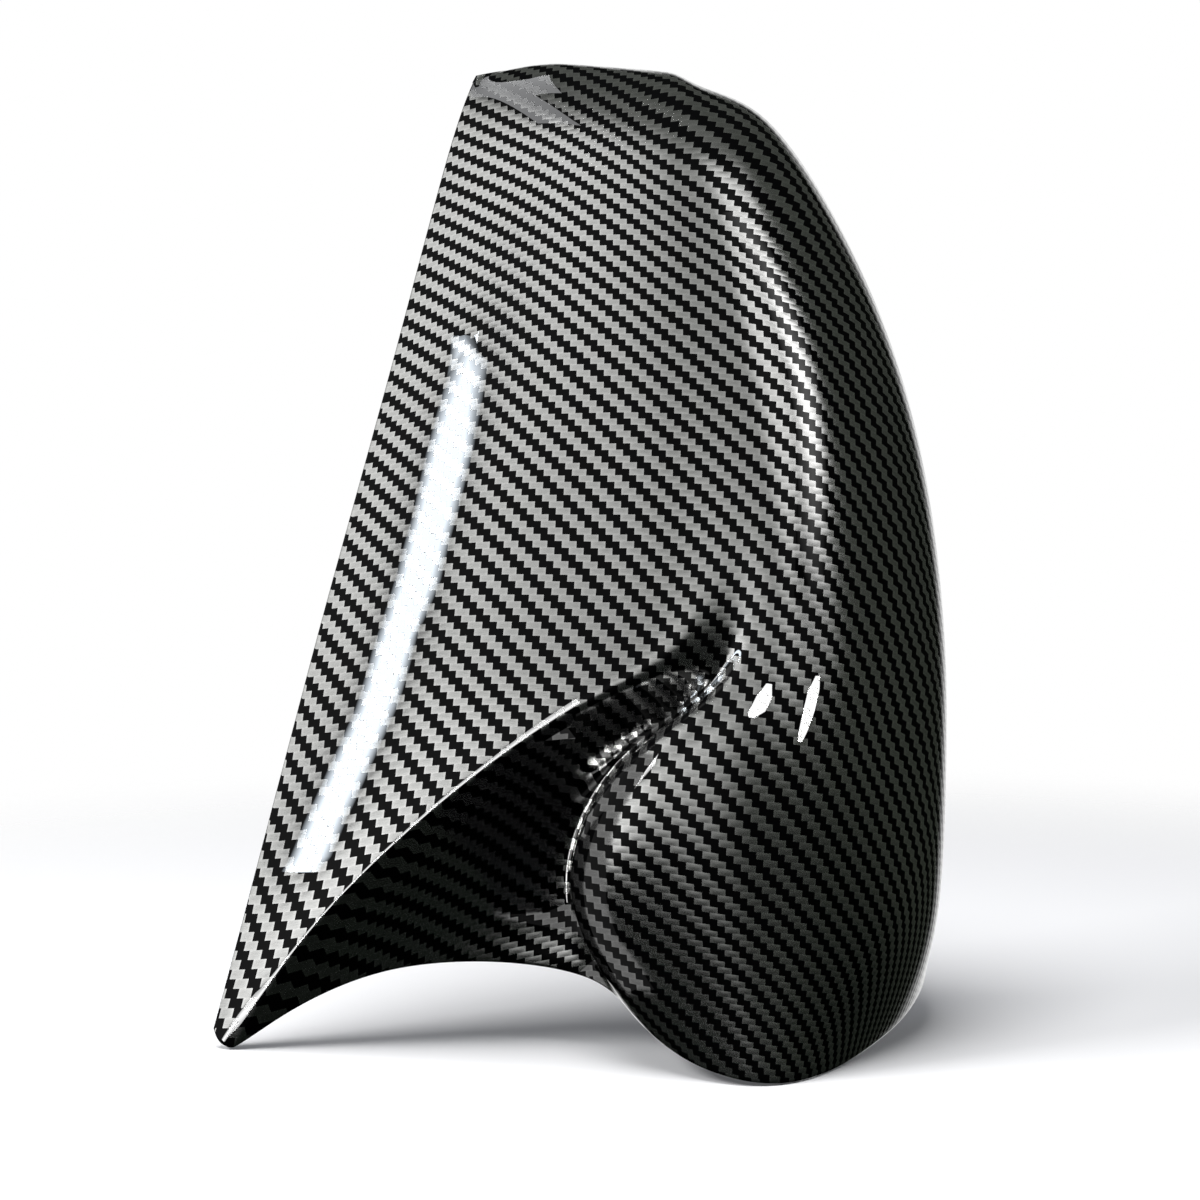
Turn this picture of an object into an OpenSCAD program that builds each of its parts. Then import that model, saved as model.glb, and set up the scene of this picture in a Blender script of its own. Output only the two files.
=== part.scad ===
/* [Overall size] */
// Height of the cover, standing on its inboard end
cover_h = 247.5; // [180:0.5:320]
// Width from the horn to the far side
cover_w = 190; // [140:1:260]
// Depth from the crown of the panel to the back of the rim
cover_d = 97.5; // [70:0.5:140]

/* [Shell] */
// Thickness of the moulded wall
wall = 2.5; // [1.5:0.1:3.5]
// How far the scoop for the mirror arm is set back behind the horn
scoop_depth = 30; // [15:1:45]
// Distance over which the crest of the horn is rounded
crest_soft = 3; // [2:0.5:6]

/* [Snap hooks] */
// Width of each hook along the rim
hook_w = 12; // [6:1:20]
// Thickness of the springing arm of a hook
hook_t = 2; // [1.2:0.1:3]
// Length of the arm from its foot to its tip
hook_len = 14; // [9:1:22]
// How far the nose of a hook stands out from its arm
nose_out = 2; // [1:0.1:3]
// Reach of the web that stiffens the foot of each arm
web_reach = 5; // [3:0.5:9]

/* [Hidden] */

// Size at which the rails below were drawn
draft = [190, 97.5, 247.5];
rises = 36;
steps_per_span = 6;
tiny = 0.000001;

// Guide rails, each from the lower edge up to the crest of the outboard end
face = [[-98, 39, 1], [-86, 32, 24], [-70, 22.5, 50], [-58, 16.5, 76], [-47, 11.5, 102], [-38, 10.5, 134],
        [-30, 12.5, 172], [-23, 14.5, 212], [-19, 17, 251]];
horn_crest = [[-94, 38, -0.8], [-78, 27, 27], [-52, 13, 55], [-24, 1.5, 79], [1, -7.5, 95],
              [22, -9.5, 104], [22, -9, 150], [18, -8, 205], [12, -3, 248.5]];
scoop = [[-57, 43, 23], [-42, 34, 42], [-26, 22.5, 62], [-8, 10, 80], [10, 1, 92], [28, -10, 103],
         [30, -10, 150], [25, -8.5, 205], [18, -3.5, 248]];
valley = [[0, 36, 21.5], [-1, 38, 42], [2, 29, 62], [12, 17, 79], [24, 5, 90], [33, -9.5, 102],
          [36, -10.5, 150], [31, -8.5, 205], [23, -2.5, 245]];
lobe_edge = [[8, 20, 10.5], [-14.5, 14, 32], [-16, 4, 55], [-2, -5, 78], [17, -10.5, 91.5],
             [38, -10.5, 102], [42, -10.5, 150], [36, -6.5, 205], [28, -1, 243.5]];
lobe = [[24, 2, 1], [14.5, -4, 25], [14.5, -9.5, 50], [24, -12.5, 72], [34, -12.5, 88], [46, -10, 102],
        [50, -8.5, 150], [43, -3.5, 205], [32.5, 2, 242]];
shoulder = [[48, -6, -1], [50, -6, 22], [55, -6, 46], [60, -6, 66], [64, -5, 84], [66, -3, 104],
            [64, 0, 150], [54, 5, 206], [37.5, 9, 239.5]];
flank = [[71, 42, -0.8], [80, 33, 20], [85, 29, 44], [87, 28, 64], [88, 28, 84], [87, 28, 106],
         [82, 28, 150], [66, 28, 202], [43, 28, 235]];
far_side = [[84.5, 76, 1], [91, 66, 20], [92, 61, 44], [91.5, 58, 64], [91, 57, 84], [90.5, 56, 106],
            [85, 52, 150], [69, 48, 199], [45, 42, 232]];
// The first and last rails lie on the rim itself, so they are drawn without a depth
rear_rim = [[-99, 4], [-91.5, 30], [-84, 58], [-77, 84], [-70, 110], [-62, 138], [-52, 173], [-42, 210],
            [-34, 238], [-30.5, 244]];
far_rim = [[88.5, 6.5], [91, 22], [91, 44], [90.5, 64], [90, 84], [89, 106], [84, 150], [68, 195],
           [55, 213], [47, 223]];
last = len(face) - 1;

// How much of the scoop's depth each point of a scoop rail takes
scoop_share = [1, 1, 0.7, 0.35, 0.1, 0, 0, 0, 0];
valley_share = [1, 1, 0.9, 0.55, 0.15, 0, 0, 0, 0];
drawn_scoop = 30;
// The horn's tip bends back out of the plane of the rim
tip_share = [1, 0.3, 0, 0, 0, 0, 0, 0, 0, 0];
tip_back = 6;

// The rim lies in one plane: its depth grows to the far side and shrinks upwards
rim_start = [-99, 35, 0];
rim_run = 0.28;
rim_climb = -0.104;
function to_rim(x, z) = [x, rim_start.y + rim_run * (x - rim_start.x) + rim_climb * z, z];
function on_rim(rail) = [for (p = rail) to_rim(p[0], p[1])];
end_drop = 4;
function close_end(rail) = concat(rail, [to_rim(rail[last].x, rail[last].z - end_drop)]);
function set_back(rail, share, amount) =
    [for (j = [0:len(rail) - 1]) rail[j] + [0, amount * share[j], 0]];

// Two extra rails beside the crest of the horn give it its round, which widens into the panel's crown
soft_share = [0.6, 1, 1, 1, 1.6, 4, 8, 7, 6, 6];
crown = [0, 0, 0, 0, 0.5, 2.5, 3.5, 3, 1.5, 0];
function beside(rail, other, lift) =
    [for (j = [0:len(rail) - 1])
        let (way = other[j] - rail[j], reach = min(crest_soft * soft_share[j], norm(way) / 2))
        rail[j] + reach * way / norm(way) - [0, lift * crown[j], 0]];

face_rail = close_end(face);
crest_rail = close_end(horn_crest);
deeper = scoop_depth - drawn_scoop;
scoop_rail = close_end(set_back(scoop, scoop_share, deeper));
rails = [
    set_back(on_rim(rear_rim), tip_share, tip_back), face_rail, beside(crest_rail, face_rail, 1), crest_rail,
    beside(crest_rail, scoop_rail, 0), scoop_rail, close_end(set_back(valley, valley_share, deeper)),
    close_end(lobe_edge), close_end(lobe), close_end(shoulder), close_end(flank),
    close_end(far_side), on_rim(far_rim)
];

// Cubic spline that starts and ends on its outer points
function knot(i, n) = max(0, min(i - 3, n - 3));
function ratio(a, b) = b == 0 ? 0 : a / b;
function basis(i, deg, n, t) =
    deg == 0 ? (t >= knot(i, n) && t < knot(i + 1, n) ? 1 : 0) :
    ratio(t - knot(i, n), knot(i + deg, n) - knot(i, n)) * basis(i, deg - 1, n, t)
    + ratio(knot(i + deg + 1, n) - t, knot(i + deg + 1, n) - knot(i + 1, n))
    * basis(i + 1, deg - 1, n, t);
function weights(n, share) =
    let (t = min(share, 1 - tiny) * (n - 3)) [for (i = [0:n - 1]) basis(i, 3, n, t)];

function stretch(p) = [for (k = [0:2]) p[k] * [cover_w, cover_d, cover_h][k] / draft[k]];
function row_at(v) = let (w = weights(last + 2, v)) [for (r = rails) w * r];

spans = steps_per_span * (len(rails) - 3);
u_weights = [for (i = [0:spans]) weights(len(rails), i / spans)];
// Rows lie closer together where the outboard end rolls over
crowding = 0.12;
function rise(j) = let (s = j / rises) s + crowding * sin(180 * s);
raw = [for (j = [0:rises]) let (row = row_at(rise(j))) [for (w = u_weights) stretch(w * row)]];

// The cover stands centred on its own footprint
xs = [for (row = raw) for (p = row) p.x];
ys = [for (row = raw) for (p = row) p.y];
zs = [for (row = raw) for (p = row) p.z];
home = [(min(xs) + max(xs)) / 2, (min(ys) + max(ys)) / 2, min(zs)];
outer = [for (row = raw) [for (p = row) p - home]];

function clamp(k, top) = max(0, min(k, top));
function unit(a) = a / max(norm(a), tiny);
function normal_at(g, i, j) =
    unit(cross(g[j][clamp(i + 1, spans)] - g[j][clamp(i - 1, spans)],
               g[clamp(j + 1, rises)][i] - g[clamp(j - 1, rises)][i]));
// At the horn's tip the wall thins, and its inside turns towards the middle of the open side
tip = outer[0][0];
tip_reach = 40;
tip_wall = 0.3;
valley_col = 4 * steps_per_span;
function from_tip(p) = min(1, norm(p - tip) / tip_reach);
function wall_at(p) = wall * (tip_wall + (1 - tip_wall) * from_tip(p));
function inwards(i, j) =
    let (k = from_tip(outer[j][i]), mid = (outer[j][0] + outer[j][valley_col]) / 2)
    unit((1 - k) * unit(mid - outer[j][i]) - k * normal_at(outer, i, j));
function under(i, j) = outer[j][i] + inwards(i, j) * wall_at(outer[j][i]);
// Behind the crest of the horn the inside is bridged straight across its corner
bridge = [steps_per_span + 2, 3 * steps_per_span - 2];
bridge_rows = [0.42, 0.55];
function fade(j) = clamp((bridge_rows[1] - rise(j)) / (bridge_rows[1] - bridge_rows[0]), 1);
function bridged(i, j) =
    let (k = i > bridge[0] && i < bridge[1] ? fade(j) : 0, s = (i - bridge[0]) / (bridge[1] - bridge[0]))
    k == 0 ? under(i, j)
    : (1 - k) * under(i, j) + k * ((1 - s) * under(bridge[0], j) + s * under(bridge[1], j));
inner = [for (j = [0:rises]) [for (i = [0:spans]) bridged(i, j)]];

// Snap hooks: column and row of the foot on the wall, as shares of the grid
hooks = [[0.035, 0.42], [0.035, 0.72], [0.45, 0.94], [0.965, 0.25], [0.965, 0.55]];
// They all spring straight out of the open side
out = unit(cross(stretch([0, rim_climb, 1]), stretch([1, rim_run, 0])));
foot_share = 0.2;
knee_share = 0.35;
web_share = 0.35;
nose_run = 3;

// Hull over short bars, each with its middle, its half length and its radius
module blade(bars) {
    hull() for (bar = bars) for (end = [-1, 1])
        translate(bar[0] + end * bar[1]) sphere(bar[2], $fn = 8);
}

module hook(h) {
    i = round(h[0] * spans);
    j = round(h[1] * rises);
    wall_in = -normal_at(outer, i, j);
    off = unit(wall_in - (wall_in * out) * out);
    slope = unit(out - (out * wall_in) * wall_in);
    r = hook_t / 2;
    half = (hook_w / 2 - r) * cross(out, off);
    foot_r = wall * foot_share;
    web_r = hook_t * web_share;
    foot = (outer[j][i] + inner[j][i]) / 2;
    axis = foot + (wall / 2 + hook_t) * off;
    knee = axis + hook_len * knee_share * out;
    top = axis + hook_len * out;
    blade([[foot, half, foot_r], [knee, half, r]]);
    blade([[knee, half, r], [top, half, r]]);
    blade([[top, half, web_r], [top + nose_out * (off - out), half, web_r],
           [top - nose_run * nose_out * out, half, web_r]]);
    blade([[foot - web_reach * slope, 0 * half, foot_r], [foot + web_reach * slope, 0 * half, foot_r],
           [knee, 0 * half, web_r]]);
}

module cover_shell() {
    cols = spans + 1;
    count = cols * (rises + 1);
    function at(i, j) = j * cols + i;
    pts = [for (g = [outer, inner]) for (row = g) for (p = row) p];
    front = [for (j = [0:rises - 1]) for (i = [0:spans - 1])
             each [[at(i, j), at(i, j + 1), at(i + 1, j + 1)], [at(i, j), at(i + 1, j + 1), at(i + 1, j)]]];
    back = [for (f = front) [count + f[0], count + f[2], count + f[1]]];
    ring = concat([for (i = [0:spans]) at(i, 0)], [for (j = [1:rises]) at(spans, j)],
                  [for (i = [spans - 1:-1:0]) at(i, rises)], [for (j = [rises - 1:-1:1]) at(0, j)]);
    edge = [for (k = [0:len(ring) - 1])
            let (a = ring[k], b = ring[(k + 1) % len(ring)])
            each [[a, b, count + b], [a, count + b, count + a]]];
    color("dimgray") {
        polyhedron(pts, concat(front, back, edge), convexity = 6);
        for (h = hooks) hook(h);
    }
}
cover_shell();
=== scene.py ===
"""Wing mirror cover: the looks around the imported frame."""
import math

import bmesh
import bpy
import numpy as np
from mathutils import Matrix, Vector


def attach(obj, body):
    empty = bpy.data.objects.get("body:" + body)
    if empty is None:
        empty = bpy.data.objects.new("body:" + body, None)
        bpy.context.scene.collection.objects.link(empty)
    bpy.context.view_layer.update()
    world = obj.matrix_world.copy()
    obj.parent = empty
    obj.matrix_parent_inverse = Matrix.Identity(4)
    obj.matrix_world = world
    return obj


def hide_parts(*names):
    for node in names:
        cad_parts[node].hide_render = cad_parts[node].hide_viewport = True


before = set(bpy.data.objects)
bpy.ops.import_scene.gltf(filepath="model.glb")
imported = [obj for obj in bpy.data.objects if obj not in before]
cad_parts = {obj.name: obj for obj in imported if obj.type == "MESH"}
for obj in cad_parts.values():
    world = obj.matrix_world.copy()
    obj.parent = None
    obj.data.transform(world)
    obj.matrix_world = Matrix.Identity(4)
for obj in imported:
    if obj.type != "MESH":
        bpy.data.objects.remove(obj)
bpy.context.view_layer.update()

# Guide rails of the cover in mm, the same as in the part's source. They run from the inboard end at the
# floor to the outboard end, and follow each other from the horn's rim round to the far rim.
FACE = [[-98, 39, 1], [-86, 32, 24], [-70, 22.5, 50], [-58, 16.5, 76], [-47, 11.5, 102], [-38, 10.5, 134],
        [-30, 12.5, 172], [-23, 14.5, 212], [-19, 17, 251]]
HORN_CREST = [[-94, 38, -0.8], [-78, 27, 27], [-52, 13, 55], [-24, 1.5, 79], [1, -7.5, 95],
              [22, -9.5, 104], [22, -9, 150], [18, -8, 205], [12, -3, 248.5]]
SCOOP = [[-57, 43, 23], [-42, 34, 42], [-26, 22.5, 62], [-8, 10, 80], [10, 1, 92], [28, -10, 103],
         [30, -10, 150], [25, -8.5, 205], [18, -3.5, 248]]
VALLEY = [[0, 36, 21.5], [-1, 38, 42], [2, 29, 62], [12, 17, 79], [24, 5, 90], [33, -9.5, 102],
          [36, -10.5, 150], [31, -8.5, 205], [23, -2.5, 245]]
LOBE_EDGE = [[8, 20, 10.5], [-14.5, 14, 32], [-16, 4, 55], [-2, -5, 78], [17, -10.5, 91.5],
             [38, -10.5, 102], [42, -10.5, 150], [36, -6.5, 205], [28, -1, 243.5]]
LOBE = [[24, 2, 1], [14.5, -4, 25], [14.5, -9.5, 50], [24, -12.5, 72], [34, -12.5, 88], [46, -10, 102],
        [50, -8.5, 150], [43, -3.5, 205], [32.5, 2, 242]]
SHOULDER = [[48, -6, -1], [50, -6, 22], [55, -6, 46], [60, -6, 66], [64, -5, 84], [66, -3, 104],
            [64, 0, 150], [54, 5, 206], [37.5, 9, 239.5]]
FLANK = [[71, 42, -0.8], [80, 33, 20], [85, 29, 44], [87, 28, 64], [88, 28, 84], [87, 28, 106],
         [82, 28, 150], [66, 28, 202], [43, 28, 235]]
FAR_SIDE = [[84.5, 76, 1], [91, 66, 20], [92, 61, 44], [91.5, 58, 64], [91, 57, 84], [90.5, 56, 106],
            [85, 52, 150], [69, 48, 199], [45, 42, 232]]
REAR_RIM = [[-99, 4], [-91.5, 30], [-84, 58], [-77, 84], [-70, 110], [-62, 138], [-52, 173], [-42, 210],
            [-34, 238], [-30.5, 244]]
FAR_RIM = [[88.5, 6.5], [91, 22], [91, 44], [90.5, 64], [90, 84], [89, 106], [84, 150], [68, 195],
           [55, 213], [47, 223]]
# How far the horn's crest is rounded, how far its face is crowned and how far its tip is set back,
# at each place along a rail
SOFT_SHARE = [0.6, 1, 1, 1, 1.6, 4, 8, 7, 6, 6]
CROWN = [0, 0, 0, 0, 0.5, 2.5, 3.5, 3, 1.5, 0]
TIP_SHARE = [1, 0.3, 0, 0, 0, 0, 0, 0, 0, 0]
TIP_BACK, END_DROP, CREST_SOFT = 6, 4, 3
# The plane of the rim: y at a starting x on the floor, and how y rises with x and falls with z
RIM_Y, RIM_X, RIM_BY_X, RIM_BY_Z = 35, -99, 0.28, 0.104


def to_rim(x, z):
    return [x, RIM_Y + RIM_BY_X * (x - RIM_X) - RIM_BY_Z * z, z]


def on_rim(rail):
    return np.array([to_rim(x, z) for x, z in rail], float)


def close_end(rail):
    return np.array(rail + [to_rim(rail[-1][0], rail[-1][2] - END_DROP)], float)


def beside(rail, other, lift):
    """A rail a little to the side of another, which rounds the edge between them."""
    way = other - rail
    length = np.linalg.norm(way, axis=1, keepdims=True)
    reach = np.minimum(CREST_SOFT * np.array(SOFT_SHARE)[:, None], length / 2)
    shifted = rail + reach * way / length
    shifted[:, 1] -= lift * np.array(CROWN)
    return shifted


def guide_rails():
    rear = on_rim(REAR_RIM)
    rear[:, 1] += TIP_BACK * np.array(TIP_SHARE)
    face, crest, scoop = close_end(FACE), close_end(HORN_CREST), close_end(SCOOP)
    return np.array([rear, face, beside(crest, face, 1), crest, beside(crest, scoop, 0), scoop,
                     close_end(VALLEY), close_end(LOBE_EDGE), close_end(LOBE), close_end(SHOULDER),
                     close_end(FLANK), close_end(FAR_SIDE), on_rim(FAR_RIM)])


def spline_weights(count, shares):
    """Weights of a clamped uniform cubic B-spline, one row per share from 0 to 1."""
    t = np.minimum(np.asarray(shares, float), 0.999999) * (count - 3)
    knots = np.clip(np.arange(count + 4) - 3, 0, count - 3).astype(float)
    b = ((t[:, None] >= knots[None, :-1]) & (t[:, None] < knots[None, 1:])).astype(float)
    for deg in range(1, 4):
        n = b.shape[1] - 1
        new = np.zeros((len(t), n))
        for i in range(n):
            d1 = knots[i + deg] - knots[i]
            d2 = knots[i + deg + 1] - knots[i + 1]
            if d1 > 0:
                new[:, i] += (t - knots[i]) / d1 * b[:, i]
            if d2 > 0:
                new[:, i] += (knots[i + deg + 1] - t) / d2 * b[:, i + 1]
        b = new
    return b


# The step that slopes are taken over
SLOPE_STEP = 1e-4


def spline_rates(count, shares):
    """How those weights change with the share."""
    low, high = np.maximum(shares - SLOPE_STEP, 0), np.minimum(shares + SLOPE_STEP, 1)
    return (spline_weights(count, high) - spline_weights(count, low)) / (high - low)[:, None]


def rise(s):
    """The spline's share along the rails at an even share of the rows."""
    return s + 0.12 * np.sin(np.pi * s)


def over_rails(along, across, rails):
    return np.einsum("vj,ui,ijk->vuk", along, across, rails)


def surface(us, vs):
    rails = guide_rails()
    return over_rails(spline_weights(rails.shape[1], vs), spline_weights(rails.shape[0], us), rails)


MM = 0.001
# Place of the drawn rails in the frame, and the drawn sizes in mm
HOME = np.array([-4.0313, 38.0574, -0.8093])
WALL = 2.5
# Near its tip the horn's wall thins to a share, set in towards the middle between the rim and a share across
TIP_REACH, TIP_WALL, TIP_MIDDLE = 40, 0.3, 0.4
# Behind the crest the inside runs straight between these shares across, fading out along the rails
BRIDGE_FROM, BRIDGE_TO, BRIDGE_END, BRIDGE_FADE = 8 / 60, 16 / 60, 0.55, 0.13
# Mesh of each skin, rows of the rounded edge, and how far the skins stop before it on each side
COLUMNS, ROWS, LIP, LIP_POWER = 216, 150, 6, 0.6
SIDE_BACK, START_BACK, END_BACK = 0.0016, 0.0022, 0.012


def unit(a):
    return a / np.maximum(np.linalg.norm(a, axis=-1, keepdims=True), 1e-9)


def normals(g):
    """Outward normals of a grid of points (rows, columns, 3)."""
    du = np.empty_like(g)
    dv = np.empty_like(g)
    du[:, 1:-1] = g[:, 2:] - g[:, :-2]
    du[:, 0] = g[:, 1] - g[:, 0]
    du[:, -1] = g[:, -1] - g[:, -2]
    dv[1:-1] = g[2:] - g[:-2]
    dv[0] = g[1] - g[0]
    dv[-1] = g[-1] - g[-2]
    return unit(np.cross(du, dv))


def inner_skin(us, shares, outer):
    """The wall's inside: set in by the wall, thin at the horn's tip and bridged behind the crest."""
    tip = outer[0, 0]
    near = np.minimum(1, np.linalg.norm(outer - tip, axis=2) / TIP_REACH)[..., None]
    left = np.abs(us - TIP_MIDDLE).argmin()
    middle = (outer[:, :1] + outer[:, left:left + 1]) / 2
    inwards = unit((1 - near) * unit(middle - outer) - near * normals(outer))
    inner = outer + inwards * WALL * (TIP_WALL + (1 - TIP_WALL) * near)
    a, b = np.abs(us - BRIDGE_FROM).argmin(), np.abs(us - BRIDGE_TO).argmin()
    fade = np.clip((BRIDGE_END - shares) / BRIDGE_FADE, 0, 1)[:, None, None]
    s = ((np.arange(a, b + 1) - a) / (b - a))[None, :, None]
    straight = (1 - s) * inner[:, a:a + 1] + s * inner[:, b:b + 1]
    inner[:, a:b + 1] = (1 - fade) * inner[:, a:b + 1] + fade * straight
    return inner


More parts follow.
